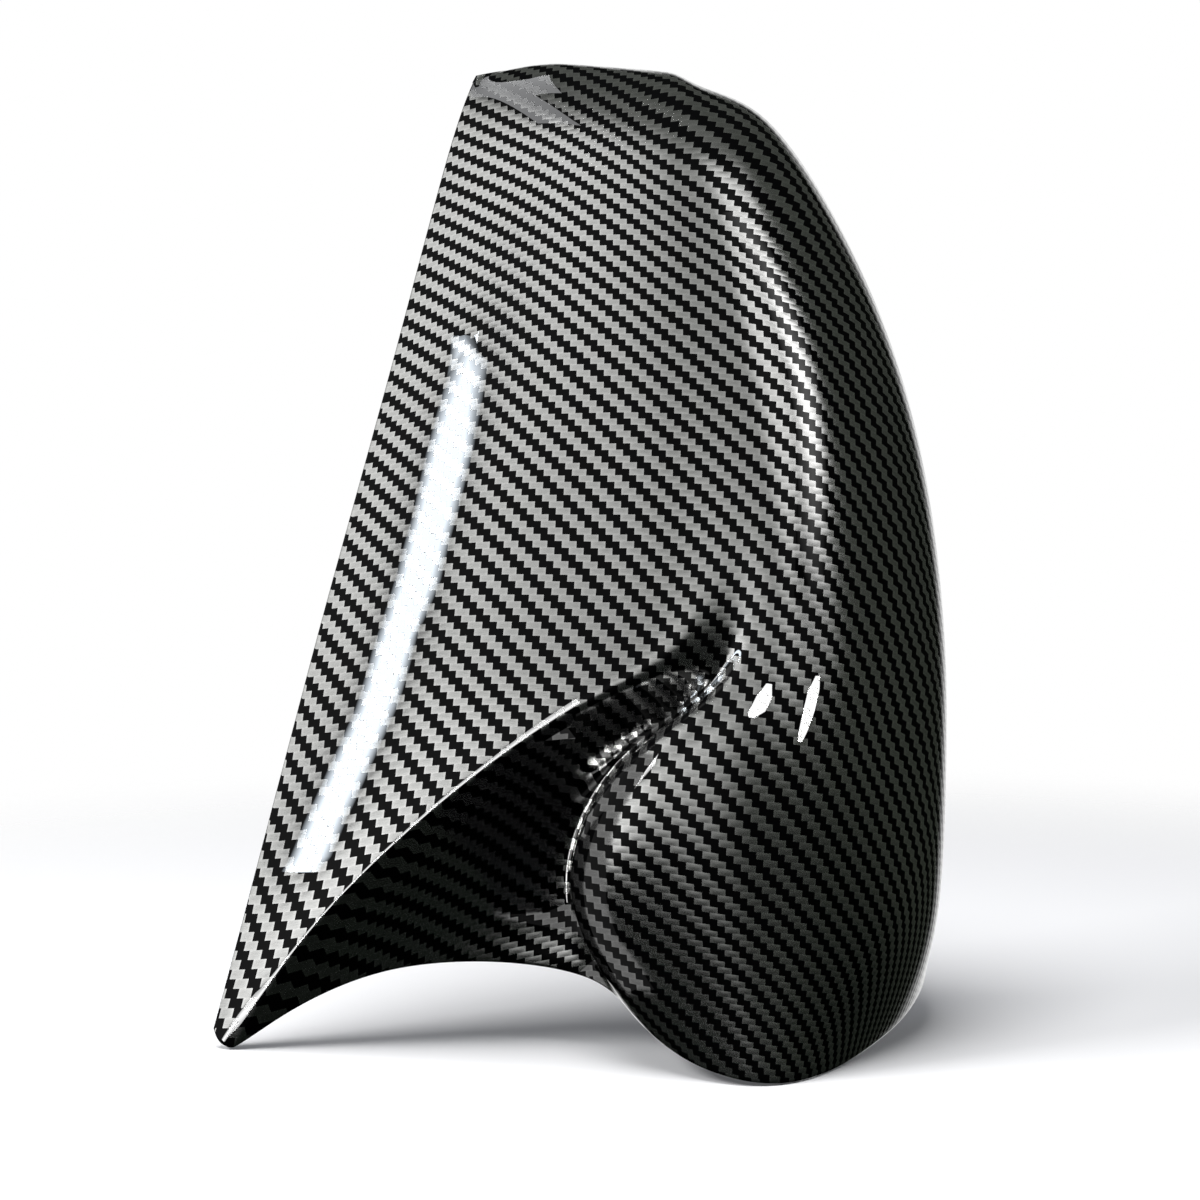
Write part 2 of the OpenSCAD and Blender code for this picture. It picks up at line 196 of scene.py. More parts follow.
# The twill at places of the surface: the place in mm, then how the column number rises there along x, y
# and z, and how the row number rises, both in thousandths of a cell per mm
WEAVE = [
    (-8, 35, 246, 548, -42, -10, 43, -653, 83), (8, 40, 245, 549, -13, -30, 79, -653, 50),
    (13, 17, 243, 547, -28, -45, 47, -639, -157), (-4, 14, 242, 532, -140, -1, -44, -526, -396),
    (24, 30, 241, 467, 225, -183, 321, -559, -143), (-22, 22, 241, 465, -285, 76, -33, -376, -542),
    (29, 46, 239, 481, 210, -166, 332, -567, -61), (20, 2, 235, 529, 77, -128, 58, -483, -446),
    (33, 13, 235, 478, 199, -187, 210, -543, -311), (44, 40, 231, 14, 558, -27, 594, -131, -576),
    (4, 1, 229, 836, -364, 106, -164, -265, -1219), (-30, 23, 226, 432, -325, 101, 96, -218, -615),
    (31, -3, 222, 505, 139, -168, -22, -279, -598), (-10, 8, 222, 622, -428, -220, -95, -194, -1227),
    (45, 8, 220, 351, 323, -273, 83, -383, -531), (52, 51, 218, 117, 434, -318, 413, -301, -417),
    (8, -3, 215, 608, -268, -52, -116, -12, -1035), (-41, 29, 213, 427, -330, 104, 104, -212, -616),
    (58, 33, 210, 227, 394, -309, 220, -383, -491), (-18, 11, 208, 425, -293, -147, -86, -53, -983),
    (18, -7, 207, 710, -204, -8, -80, -20, -1049), (-3, 2, 204, 520, -274, -26, -122, -16, -988),
    (31, -7, 203, 779, 116, 114, -144, -107, -996), (47, 1, 202, 395, 287, -252, -61, -268, -600),
    (62, 59, 202, 124, 429, -320, 360, -322, -450), (58, 17, 201, 280, 367, -299, 71, -362, -547),
    (66, 43, 197, 174, 412, -319, 229, -363, -502), (8, -4, 196, 630, -258, 43, -51, -20, -917),
    (-36, 22, 196, 443, -312, 95, 114, -189, -622), (-14, 7, 194, 505, -289, -66, -25, -78, -976),
    (-3, 1, 189, 556, -275, -23, -24, -40, -851), (25, -8, 189, 731, -29, 44, -49, -32, -939),
    (66, 25, 188, 246, 383, -308, 75, -358, -550), (52, 0, 183, 687, 560, 105, -20, -233, -902),
    (38, -8, 183, 685, 155, 182, -31, -72, -741), (-49, 30, 182, 434, -322, 100, 109, -202, -619),
    (11, -6, 182, 616, -219, -2, -29, -14, -831), (72, 64, 181, 96, 430, -329, 256, -330, -511),
    (73, 45, 180, 59, 555, -46, 239, -174, -685), (64, 12, 176, 298, 357, -293, -29, -312, -581),
    (-10, 3, 176, 525, -259, 26, -24, -41, -771), (-22, 10, 176, 509, -286, 7, -26, -61, -777),
    (25, -9, 175, 666, -64, 74, -25, -20, -791), (11, -6, 169, 582, -189, 37, -25, -9, -800),
    (41, -8, 168, 675, 195, 136, -23, -78, -754), (-3, 0, 165, 556, -238, 8, -7, -31, -765),
    (-29, 13, 165, 457, -272, -11, -37, -72, -730), (77, 35, 163, 185, 406, -321, 59, -345, -560),
    (-48, 25, 163, 438, -329, -79, 32, -151, -746), (25, -9, 162, 706, -73, 41, 24, -14, -796),
    (79, 68, 161, 70, 432, -333, 192, -329, -539), (52, -4, 161, 580, 363, 105, -14, -107, -733),
    (-18, 6, 161, 506, -258, -7, -18, -55, -733), (70, 15, 158, 276, 369, -300, -50, -301, -585),
    (11, -6, 154, 602, -187, 48, 8, -19, -741), (-40, 18, 154, 429, -295, -68, 29, -138, -723),
    (82, 47, 152, 117, 424, -331, 89, -341, -558), (60, 0, 151, 535, 456, 117, -102, -184, -699),
    (-3, -1, 150, 529, -211, 17, 8, -36, -720), (35, -10, 150, 717, 0, 135, 20, -11, -713),
    (-17, 5, 147, 506, -232, -14, -8, -51, -702), (22, -9, 147, 612, -112, 121, -4, -7, -699),
    (48, -7, 147, 606, 256, 159, -83, -84, -677), (-29, 11, 147, 473, -255, -23, -31, -67, -696),
    (79, 29, 146, 198, 402, -319, -8, -326, -574), (-51, 24, 144, 390, -299, -55, 1, -134, -694),
    (73, 14, 141, 271, 372, -301, -81, -283, -591), (84, 72, 141, 41, 434, -336, 130, -328, -558),
    (-40, 16, 139, 460, -272, 31, 92, -151, -626), (36, -10, 137, 639, -14, 145, -19, 0, -660),
    (8, -5, 137, 527, -169, 66, -16, -18, -671), (60, -2, 137, 576, 428, 175, -205, -196, -667),
    (-10, 1, 136, 519, -203, 59, 34, -60, -677), (85, 55, 136, 72, 430, -335, 80, -334, -563),
    (22, -9, 134, 583, -96, 70, -12, -5, -672), (49, -8, 133, 588, 221, 161, -26, -33, -662),
    (-25, 7, 132, 435, -202, 35, -49, -47, -636), (-55, 24, 129, 459, -375, -142, 90, -209, -724),
    (-39, 14, 126, 453, -243, 47, 9, -91, -593), (84, 36, 126, 151, 416, -327, -19, -324, -575),
    (0, -3, 126, 507, -172, 29, -2, -38, -665), (36, -10, 123, 629, -14, 118, -7, 15, -656),
    (15, -8, 123, 532, -121, 88, -8, -21, -657), (56, -5, 122, 539, 272, 180, -128, -77, -645),
    (-14, 1, 122, 486, -194, -6, 19, -72, -664), (88, 65, 121, 33, 433, -337, 76, -330, -567),
    (78, 19, 121, 239, 387, -310, -95, -282, -589), (-28, 7, 119, 445, -211, -32, -12, -75, -644),
    (-63, 28, 118, 417, -312, -11, 47, -140, -609), (-52, 19, 115, 481, -321, 12, 100, -160, -598),
    (27, -9, 113, 529, 11, 140, -35, 57, -613), (4, -6, 112, 459, -137, 33, -19, -50, -649),
    (45, -9, 112, 596, 131, 228, -45, -8, -634), (-39, 12, 112, 462, -264, -41, 51, -111, -625),
    (87, 44, 109, 95, 581, 0, 22, -157, -604), (-10, -2, 108, 471, -168, -27, 7, -74, -661),
    (60, -3, 108, 561, 327, 242, -209, -126, -635), (72, 9, 108, 294, 361, -293, -144, -230, -602),
    (15, -9, 106, 505, -36, 35, -27, 19, -657), (89, 77, 105, 5, 434, -337, 70, -327, -569),
    (-25, 4, 105, 438, -192, -40, 10, -78, -643), (-59, 22, 103, 365, -273, -56, 0, -94, -552),
    (36, -10, 101, 569, 13, 232, -31, -14, -612), (82, 24, 101, 200, 402, -318, -103, -286, -586),
    (-47, 14, 100, 400, -243, -28, 21, -93, -594), (-70, 30, 98, 386, -295, -32, 26, -110, -518),
    (4, -7, 98, 435, -97, 10, -17, -38, -667), (-35, 8, 97, 448, -229, -35, 44, -88, -612),
    (52, -7, 95, 489, 183, 243, -80, -17, -561), (-10, -3, 94, 437, -166, -58, 27, -75, -710),
    (90, 59, 93, 31, 433, -337, 9, -329, -572), (-24, 2, 90, 464, -197, -72, 60, -59, -622),
    (76, 13, 90, 259, 380, -302, -171, -225, -596), (-59, 20, 88, 386, -259, -99, 89, -138, -579),
    (38, -10, 88, 581, 62, 211, -58, 11, -576), (-43, 11, 85, 445, -232, -44, 59, -73, -554),
    (90, 79, 85, -5, 434, -338, 38, -328, -572), (87, 36, 85, 117, 424, -331, -89, -307, -577),
    (12, 8, 84, 486, -245, 79, 260, 118, -595), (22, -10, 84, 587, -83, 144, -35, -2, -605),
    (-74, 30, 84, 490, -353, 63, 51, -109, -433), (60, -2, 83, 587, 362, 214, -199, -70, -578),
    (-5, 7, 82, 504, 260, -26, -109, 447, -388), (-32, 5, 79, 496, -220, -85, 84, -60, -562),
    (45, -8, 77, 553, 118, 202, -75, 31, -568), (-66, 23, 77, 424, -296, -16, 59, -102, -472),
    (90, 51, 75, 52, 432, -336, -40, -325, -573), (68, 5, 75, 571, 463, 298, -233, -113, -665),
    (32, -10, 74, 568, 8, 159, -62, 47, -574), (-17, 12, 74, 518, 303, -29, -64, 432, -388),
    (-54, 16, 73, 453, -266, -84, 76, -84, -513), (81, 24, 73, 184, 408, -319, -176, -253, -584),
    (91, 70, 71, 8, 434, -338, 13, -329, -572), (-43, 10, 71, 466, -224, -87, 83, -58, -521),
    (19, -9, 70, 563, -68, 129, -66, 60, -598), (-79, 31, 69, 412, -295, 30, -8, -64, -441),
    (56, -3, 69, 565, 262, 247, -137, 14, -595), (3, -3, 65, 453, -298, 91, 164, -112, -629),
    (-3, 13, 63, 25, -507, 212, -295, -322, -495), (39, -8, 63, 543, 59, 190, -98, 56, -565),
    (-62, 20, 62, 381, -224, -115, 51, -67, -436), (64, 4, 61, 432, 305, 340, -162, -20, -617),
    (-16, 24, 61, 472, 227, -168, -237, 332, -519), (87, 41, 60, 160, 539, 79, -76, -129, -580),
    (-51, 13, 56, 463, -230, -120, 87, -56, -468), (25, -8, 56, 519, -44, 138, -83, 86, -629),
    (53, -2, 55, 512, 224, 251, -120, 34, -601), (79, 24, 55, 183, 410, -318, -223, -226, -579),
    (90, 62, 54, 31, 433, -337, -35, -326, -573), (-78, 29, 54, 394, -274, -53, 67, -89, -422),
    (91, 83, 52, -8, 434, -338, 24, -328, -572), (69, 11, 49, 307, 245, 376, -107, 43, -577),
    (-30, 29, 49, 610, 180, -47, 140, 383, -525), (42, -5, 48, 505, 104, 176, -103, 64, -652),
    (-62, 19, 47, 392, -211, -181, 151, -88, -359), (57, 2, 43, 375, 203, 271, -176, -15, -567),
    (22, -6, 41, 457, -69, 169, -105, 119, -745), (-86, 34, 41, 450, -308, -26, 24, -39, -362),
    (-74, 25, 39, 376, -232, -123, 93, -76, -380), (35, -5, 37, 530, 47, 156, -152, 75, -773),
    (91, 74, 36, 9, 434, -338, -36, -328, -572), (88, 56, 36, 53, 433, -335, -138, -306, -568),
    (-10, 33, 36, 560, -262, -53, 257, -1, -704), (-46, 34, 35, 594, 182, -56, 192, 373, -534),
    (65, 11, 35, 219, 156, 316, -144, 8, -548), (80, 33, 32, 127, 425, -324, -269, -227, -559),
    (50, 0, 29, 468, 183, 230, -226, -21, -617), (-82, 30, 26, 414, -263, -138, 48, -40, -360),
    (90, 86, 21, -7, 434, -337, -66, -327, -569), (52, 3, 21, 458, 328, 19, -127, 25, -621),
    (39, -3, 19, 607, 66, 127, -54, 77, -735), (86, 60, 19, 17, 437, -333, -250, -286, -540),
    (68, 22, 19, 154, 422, -318, -320, -177, -549), (80, 44, 18, 58, 437, -329, -313, -241, -529),
    (-91, 35, 18, 410, -236, -158, 39, -25, -381), (18, 5, 11, 457, -370, -19, 185, 221, -601),
    (86, 81, 4, 14, 438, -333, -253, -286, -538), (78, 59, 0, -6, 441, -328, -353, -258, -494),
    (71, 42, 0, 22, 441, -328, -354, -241, -502), (63, 26, -1, 78, 436, -327, -326, -222, -529),
]
# Reach of a guide in mm, splines across and along, places across and along where the slopes are met, the
# least angle counted between the two ways, and the pull that holds what no place settles
WEAVE_SPREAD, WEAVE_SPLINES, WEAVE_PLACES, LEAST_SPREAD, WEAVE_HOLD = 9, 26, 61, 0.02, 1e-9


def weave_coordinates(out_u, out_v):
    """Column and row numbers of the twill's cells over the surface, solved so that they rise as above."""
    at = np.linspace(0, 1, WEAVE_PLACES)
    rails = guide_rails()
    across, along = (spline_weights(count, at) for count in rails.shape[:2])
    g = over_rails(along, across, rails)
    su = over_rails(along, spline_rates(rails.shape[0], at), rails)
    sv = over_rails(spline_rates(rails.shape[1], at), across, rails)
    guides = np.array(WEAVE, float)
    guides[:, 3:] /= 1000
    d2 = ((g[:, :, None, :] - guides[None, None, :, :3]) ** 2).sum(3)
    weight = 1 / (d2 + WEAVE_SPREAD ** 2) ** 2
    local = (weight[..., None] * guides[None, None, :, 3:]).sum(2) / weight.sum(2)[..., None]
    count = WEAVE_SPLINES
    weights, rates = spline_weights(count, at), spline_rates(count, at)
    # Errors count as slopes on the surface, by its area
    m11, m12, m22 = (su * su).sum(2), (su * sv).sum(2), (sv * sv).sum(2)
    spread = np.maximum(m11 * m22 - m12 ** 2, LEAST_SPREAD * m11 * m22)
    by_area = spread ** 0.25
    k_uu, k_vv = np.sqrt(m22 / spread) * by_area, by_area / np.sqrt(m22)
    k_uv = -m12 / np.sqrt(m22 * spread) * by_area
    rows_u = np.einsum("vj,ui->vuji", weights, rates) * k_uu[..., None, None]
    rows_v = np.einsum("vj,ui->vuji", rates, weights)
    rows_u += rows_v * k_uv[..., None, None]
    rows_v *= k_vv[..., None, None]
    system = np.concatenate([rows_u.reshape(-1, count ** 2), rows_v.reshape(-1, count ** 2)])
    del rows_u, rows_v
    normal = system.T @ system
    normal += WEAVE_HOLD * np.trace(normal) / count ** 2 * np.eye(count ** 2)
    found = []
    for rising in (local[..., :3], local[..., 3:]):
        along_u, along_v = (su * rising).sum(2), (sv * rising).sum(2)
        target = np.concatenate([(along_u * k_uu + along_v * k_uv).ravel(), (along_v * k_vv).ravel()])
        coefficients = np.linalg.solve(normal, system.T @ target).reshape(count, count)
        found.append(spline_weights(count, out_v) @ coefficients @ spline_weights(count, out_u).T)
    return found


def lip_rows(outer, inner, edge):
    """Rows of points that round the cut edge from the outer skin over to the inner one."""
    mid, half = (outer + inner) / 2, (outer - inner) / 2
    rows = []
    for k in range(1, LIP):
        t = math.pi * k / LIP
        c, s = math.cos(t), math.sin(t)
        c, s = math.copysign(abs(c) ** LIP_POWER, c), s ** LIP_POWER
        rows.append(mid + half * c + (edge - mid) * s)
    return rows


def link(obj):
    bpy.context.scene.collection.objects.link(obj)
    return obj


def build_cover():
    """The shell: outer skin, inner skin and the rounded edge between them, with the twill's coordinates."""
    shares = np.linspace(0, 1, ROWS + 1)
    us = np.linspace(0, 1, COLUMNS + 1)
    us[0], us[-1] = SIDE_BACK, 1 - SIDE_BACK
    # The last rows end together: at the outboard end the wall is cut flat, and its edge has no thickness
    vs = np.minimum(rise(shares), 1 - END_BACK)
    vs[0] = START_BACK
    outer = surface(us, vs) - HOME
    inner = inner_skin(us, shares, outer)
    full_u, full_v = us.copy(), vs.copy()
    full_u[0], full_u[-1], full_v[0], full_v[-1] = 0, 1, 0, 1
    edge_outer = surface(full_u, full_v) - HOME
    edge = (edge_outer + inner + (edge_outer - outer)) / 2
    ring = [(0, i) for i in range(COLUMNS + 1)] + [(j, COLUMNS) for j in range(1, ROWS + 1)]
    ring += [(ROWS, i) for i in range(COLUMNS - 1, -1, -1)] + [(j, 0) for j in range(ROWS - 1, 0, -1)]
    rj, ri = np.array(ring).T
    lips = lip_rows(outer[rj, ri], inner[rj, ri], edge[rj, ri])
    count = (ROWS + 1) * (COLUMNS + 1)
    points = np.concatenate([outer.reshape(-1, 3), inner.reshape(-1, 3)] + lips) * MM
    at = np.arange(count).reshape(ROWS + 1, COLUMNS + 1)
    quads = np.stack([at[:-1, :-1], at[:-1, 1:], at[1:, 1:], at[1:, :-1]], axis=2).reshape(-1, 4)
    round_edge = at[rj, ri]
    loops = [round_edge] + [2 * count + k * len(ring) + np.arange(len(ring)) for k in range(LIP - 1)]
    loops.append(round_edge + count)
    faces = [quads, quads[:, ::-1] + count]
    for a, b in zip(loops[:-1], loops[1:]):
        faces.append(np.stack([a, b, np.roll(b, -1), np.roll(a, -1)], axis=1))
    faces = np.concatenate(faces)
    mesh = bpy.data.meshes.new("cover_skin")
    mesh.from_pydata(points.tolist(), [], faces.tolist())
    mesh.update()
    # The print covers the outer skin and the outer half of the edge
    materials = np.zeros(len(faces), np.int32)
    materials[len(quads):2 * len(quads)] = 1
    materials[2 * len(quads) + len(ring) * LIP // 2:] = 1
    mesh.polygons.foreach_set("material_index", materials)
    mesh.polygons.foreach_set("use_smooth", np.ones(len(faces), bool))
    grid = np.stack(weave_coordinates(us, vs), axis=2).reshape(-1, 2)
    per_point = np.concatenate([grid, grid] + [grid[round_edge]] * (LIP - 1))
    corner = np.empty(len(mesh.loops), np.int32)
    mesh.loops.foreach_get("vertex_index", corner)
    uv = mesh.uv_layers.new(name="weave")
    uv.data.foreach_set("uv", per_point[corner].astype(np.float32).ravel())
    return link(bpy.data.objects.new("cover_skin", mesh))


# Snap hooks inside the rim: shares across and along the shell, the grid they are rounded to, sizes in mm
HOOKS = [(0.035, 0.42), (0.035, 0.72), (0.45, 0.94), (0.965, 0.25), (0.965, 0.55)]
GRID_ACROSS, GRID_ALONG = 60, 36
HOOK_W, HOOK_T, HOOK_LEN, NOSE_OUT, WEB_REACH = 12, 2, 14, 2, 5
FOOT_SHARE, WEB_SHARE, KNEE_SHARE = 0.2, 0.35, 0.35
OUT = unit(np.array([-RIM_BY_X, 1, RIM_BY_Z]))


def blade(bm, bars):
    """Hull of balls at both ends of bars (middle, half, radius)."""
    made = []
    for middle, half, radius in bars:
        for end in (-1, 1):
            for polar in np.radians((22.5, 67.5, 112.5, 157.5)):
                for turn in np.radians(np.arange(0, 360, 45)):
                    level = math.sin(polar)
                    ball = np.array([level * math.cos(turn), level * math.sin(turn), math.cos(polar)])
                    made.append(bm.verts.new((middle + end * half + radius * ball) * MM))
    hull = bmesh.ops.convex_hull(bm, input=made)
    loose = {e for e in hull["geom_interior"] + hull["geom_unused"] if isinstance(e, bmesh.types.BMVert)}
    bmesh.ops.delete(bm, geom=list(loose), context="VERTS")


def build_hooks():
    us, shares = np.linspace(0, 1, GRID_ACROSS + 1), np.linspace(0, 1, GRID_ALONG + 1)
    outer = surface(us, rise(shares)) - HOME
    inner = inner_skin(us, shares, outer)
    facing = normals(outer)
    bm = bmesh.new()
    for across, along in HOOKS:
        i, j = int(across * GRID_ACROSS + 0.5), int(along * GRID_ALONG + 0.5)
        wall_in = -facing[j, i]
        off = unit(wall_in - (wall_in @ OUT) * OUT)
        slope = unit(OUT - (OUT @ wall_in) * wall_in)
        r, foot_r, web_r = HOOK_T / 2, WALL * FOOT_SHARE, HOOK_T * WEB_SHARE
        half = (HOOK_W / 2 - r) * np.cross(OUT, off)
        foot = (outer[j, i] + inner[j, i]) / 2
        axis = foot + (WALL / 2 + HOOK_T) * off
        knee, top = axis + HOOK_LEN * KNEE_SHARE * OUT, axis + HOOK_LEN * OUT
        blade(bm, [(foot, half, foot_r), (knee, half, r)])
        blade(bm, [(knee, half, r), (top, half, r)])
        blade(bm, [(top, half, web_r), (top + NOSE_OUT * (off - OUT), half, web_r),
                   (top - 3 * NOSE_OUT * OUT, half, web_r)])
        blade(bm, [(foot - WEB_REACH * slope, 0 * half, foot_r), (foot + WEB_REACH * slope, 0 * half, foot_r),
                   (knee, 0 * half, web_r)])
    mesh = bpy.data.meshes.new("snap_hooks")
    bm.to_mesh(mesh)
    bm.free()
    return link(bpy.data.objects.new("snap_hooks", mesh))


class Nodes:
    """Short helpers to write the nodes of a material or a world."""

    def __init__(self, owner):
        self.owner = owner
        owner.use_nodes = True
        self.tree = owner.node_tree
        self.tree.nodes.clear()

    def new(self, kind, **values):
        node = self.tree.nodes.new(kind)
        for key, value in values.items():
            setattr(node, key, value)
        return node

    def link(self, a, b):
        self.tree.links.new(a, b)

    def put(self, socket, value):
        if isinstance(value, (int, float)):
            socket.default_value = value
        elif isinstance(value, tuple):
            socket.default_value = (*value, 1)
        else:
            self.link(value, socket)

    def math(self, operation, *values):
        node = self.new("ShaderNodeMath", operation=operation)
        for socket, value in zip(node.inputs, values):
            self.put(socket, value)
        return node.outputs[0]

    def mix(self, factor, a, b, blend="MIX"):
        node = self.new("ShaderNodeMix", data_type="RGBA", blend_type=blend)
        for key, value in (("Factor", factor), (6, a), (7, b)):
            self.put(node.inputs[key], value)
        return node.outputs[2]

    def noise(self, vector, scale, detail=2.0):
        node = self.new("ShaderNodeTexNoise")
        node.inputs["Scale"].default_value = scale
        node.inputs["Detail"].default_value = detail
        self.link(vector, node.inputs["Vector"])
        return node.outputs[0]

    def bump(self, height, strength, distance):
        node = self.new("ShaderNodeBump")
        node.inputs["Strength"].default_value = strength
        node.inputs["Distance"].default_value = distance
        self.link(height, node.inputs["Height"])
        return node.outputs[0]

    def ramp(self, value, start, end):
        node = self.new("ShaderNodeMapRange", interpolation_type="SMOOTHSTEP")
        node.inputs["From Min"].default_value, node.inputs["From Max"].default_value = start, end
        self.link(value, node.inputs["Value"])
        return node.outputs[0]

    def finish(self, result, kind="ShaderNodeOutputMaterial"):
        self.link(result, self.new(kind).inputs[0])
        return self.owner


# Lightness of the silver tows: middle, ends, borders, fibres and clouds
SILVER, SILVER_END, SILVER_BORDER, FIBRE_SHADE, CLOUD_SHADE = 0.70, 0.22, 0.14, 0.35, 0.10
SILVER_TINT = (1.0, 1.0, 0.985)
SILVER_METAL, SILVER_ROUGH, FIBRE_ROUGH = 0.96, 0.16, 0.08
BLACK = (0.0025, 0.0025, 0.0027)
# Fibres per cell along and across a silver tow, and the size of the clouds
FIBRE_ALONG, FIBRE_ACROSS, CLOUD_SCALE = 0.9, 9.0, 0.07


def carbon_material():
    """A 2/2 twill of silver and black tows under clear lacquer."""
    n = Nodes(bpy.data.materials.new("carbon_print"))
    uv = n.new("ShaderNodeUVMap", uv_map="weave")
    split = n.new("ShaderNodeSeparateXYZ")
    n.link(uv.outputs[0], split.inputs[0])
    column, row = split.outputs[0], split.outputs[1]
    ci, ri = n.math("FLOOR", column), n.math("FLOOR", row)
    cf, rf = n.math("FRACT", column), n.math("FRACT", row)
    phase = n.math("FLOORED_MODULO", n.math("SUBTRACT", ci, ri), 4.0)
    silver = n.math("LESS_THAN", phase, 1.5)
    # Place along and across the tow that lies on top, each from 0 to 1
    along_weft = n.math("MULTIPLY", n.math("ADD", phase, cf), 0.5)
    along_warp = n.math("MULTIPLY", n.math("ADD", n.math("SUBTRACT", 3.0, phase), rf), 0.5)
    tow_along = n.math("ADD", n.math("MULTIPLY", silver, along_weft),
                       n.math("MULTIPLY", n.math("SUBTRACT", 1.0, silver), along_warp))
    tow_across = n.math("ADD", n.math("MULTIPLY", silver, rf),
                        n.math("MULTIPLY", n.math("SUBTRACT", 1.0, silver), cf))
    arch_along = n.math("SINE", n.math("MULTIPLY", tow_along, math.pi))
    arch_across = n.math("SINE", n.math("MULTIPLY", tow_across, math.pi))
    # Fine fibres run along the silver tows
    stretch = n.new("ShaderNodeCombineXYZ")
    n.link(n.math("MULTIPLY", column, FIBRE_ALONG), stretch.inputs[0])
    n.link(n.math("MULTIPLY", row, FIBRE_ACROSS), stretch.inputs[1])
    fibre = n.noise(stretch.outputs[0], 1.0, 3.0)
    cloud = n.noise(uv.outputs[0], CLOUD_SCALE)
    # The ends and borders of a silver tow are brighter than its middle
    end, border = (n.math("POWER", n.math("ABSOLUTE", n.math("SUBTRACT", n.math("MULTIPLY", way, 2.0), 1.0)), power)
                   for way, power in ((tow_along, 4.0), (rf, 3.0)))
    bright = SILVER
    for share, amount in ((end, SILVER_END), (border, SILVER_BORDER),
                          (n.math("SUBTRACT", fibre, 0.5), FIBRE_SHADE),
                          (n.math("SUBTRACT", cloud, 0.5), CLOUD_SHADE)):
        bright = n.math("ADD", bright, n.math("MULTIPLY", share, amount))
    lit = n.new("ShaderNodeCombineColor")
    for socket, share in zip(lit.inputs, SILVER_TINT):
        n.link(n.math("MULTIPLY", bright, share), socket)
    shader = n.new("ShaderNodeBsdfPrincipled")
    n.link(n.mix(silver, BLACK, lit.outputs[0]), shader.inputs["Base Color"])
    n.link(n.math("MULTIPLY", silver, SILVER_METAL), shader.inputs["Metallic"])
    n.link(n.math("ADD", SILVER_ROUGH, n.math("MULTIPLY", fibre, FIBRE_ROUGH)), shader.inputs["Roughness"])
    shader.inputs["Specular IOR Level"].default_value = 0.0
    shader.inputs["Coat Weight"].default_value = 1.0
    shader.inputs["Coat Roughness"].default_value = 0.0
    shader.inputs["Coat IOR"].default_value = 1.5
    n.link(n.bump(n.math("MULTIPLY", arch_along, arch_across), 0.10, 0.0002), shader.inputs["Normal"])
    return n.finish(shader.outputs[0])


def plastic_material():
    """Black moulded plastic with a fine grain, for the inside and the hooks."""
    n = Nodes(bpy.data.materials.new("moulded_plastic"))
    where = n.new("ShaderNodeTexCoord").outputs["Object"]
    grain, flow = n.noise(where, 2600.0), n.noise(where, 28.0)
    shader = n.new("ShaderNodeBsdfPrincipled")
    n.link(n.mix(flow, (0.010, 0.010, 0.011), (0.020, 0.020, 0.021)), shader.inputs["Base Color"])
    n.link(n.math("ADD", 0.36, n.math("MULTIPLY", grain, 0.14)), shader.inputs["Roughness"])
    n.link(n.bump(grain, 0.35, 0.00008), shader.inputs["Normal"])
    return n.finish(shader.outputs[0])


# Floor: size and fade in metres, and how much brighter the camera sees it
FLOOR_RADIUS, FADE_CENTRE, FADE_START, FADE_END = 0.9, (0.04, 0.10, 0), 0.2, 0.5
FLOOR_LIFT = 0.03


def floor_disc():
    """A pale floor that holds the shadow and fades into the white background."""
    n = Nodes(bpy.data.materials.new("pale_floor"))
    where = n.new("ShaderNodeTexCoord")
    ring = n.new("ShaderNodeVectorMath", operation="DISTANCE")
    n.link(where.outputs["Object"], ring.inputs[0])
    ring.inputs[1].default_value = FADE_CENTRE
    matte = n.new("ShaderNodeBsdfDiffuse")
    matte.inputs["Color"].default_value = (0.93, 0.93, 0.94, 1)
    # What the camera sees of it is lifted to a white floor that keeps its shadows
    path = n.new("ShaderNodeLightPath")
    lift = n.new("ShaderNodeEmission")
    lift.inputs["Color"].default_value = (1, 1, 1, 1)
    n.link(n.math("MULTIPLY", path.outputs["Is Camera Ray"], FLOOR_LIFT), lift.inputs["Strength"])
    both = n.new("ShaderNodeAddShader")
    n.link(matte.outputs[0], both.inputs[0])
    n.link(lift.outputs[0], both.inputs[1])
    clear = n.new("ShaderNodeBsdfTransparent")
    mix = n.new("ShaderNodeMixShader")
    n.link(n.ramp(ring.outputs["Value"], FADE_START, FADE_END), mix.inputs[0])
    n.link(both.outputs[0], mix.inputs[1])
    n.link(clear.outputs[0], mix.inputs[2])
    bm = bmesh.new()
    bmesh.ops.create_circle(bm, cap_ends=True, cap_tris=True, segments=96, radius=FLOOR_RADIUS)
    mesh = bpy.data.meshes.new("floor")
    bm.to_mesh(mesh)
    bm.free()
    mesh.materials.append(n.finish(mix.outputs[0]))
    floor = link(bpy.data.objects.new("floor", mesh))
    floor.visible_glossy = floor.visible_diffuse = False


# Soft boxes of the studio as the gloss sees them: level, azimuth and elevation in degrees,
# each as where it starts, where it is full, where it begins to fade and where it ends
BOXES = [
    (0.74, (-150, -105, -66, -26), (-27, -15, 16, 48)),
    (0.42, (-90, -62, -14, 20), (-27, -17, -8, 3)),
    (0.24, (-58, -34, 30, 61), (-17, -6, 18, 48)),
    (0.64, (8, 30, 53, 62), (-8, 5, 26, 40)),
    (0.06, (-120, -60, 60, 75), (-10, 20, 60, 80)),
]
# What the gloss sees between the boxes, and below, with the elevations where one turns into the other
SHADE = (0.026, 0.031, 0.023)
LOW_SHADE = (0.004, 0.0055, 0.0038)
LOW_FROM, LOW_TO = -30, -15
# The gloss sees the white background straight behind the cover
BEHIND_FROM, BEHIND_TO = 0.86, 0.99
WHITE = (1.0, 1.0, 1.0)
PLAIN_LIGHT = (0.20, 0.207, 0.22)
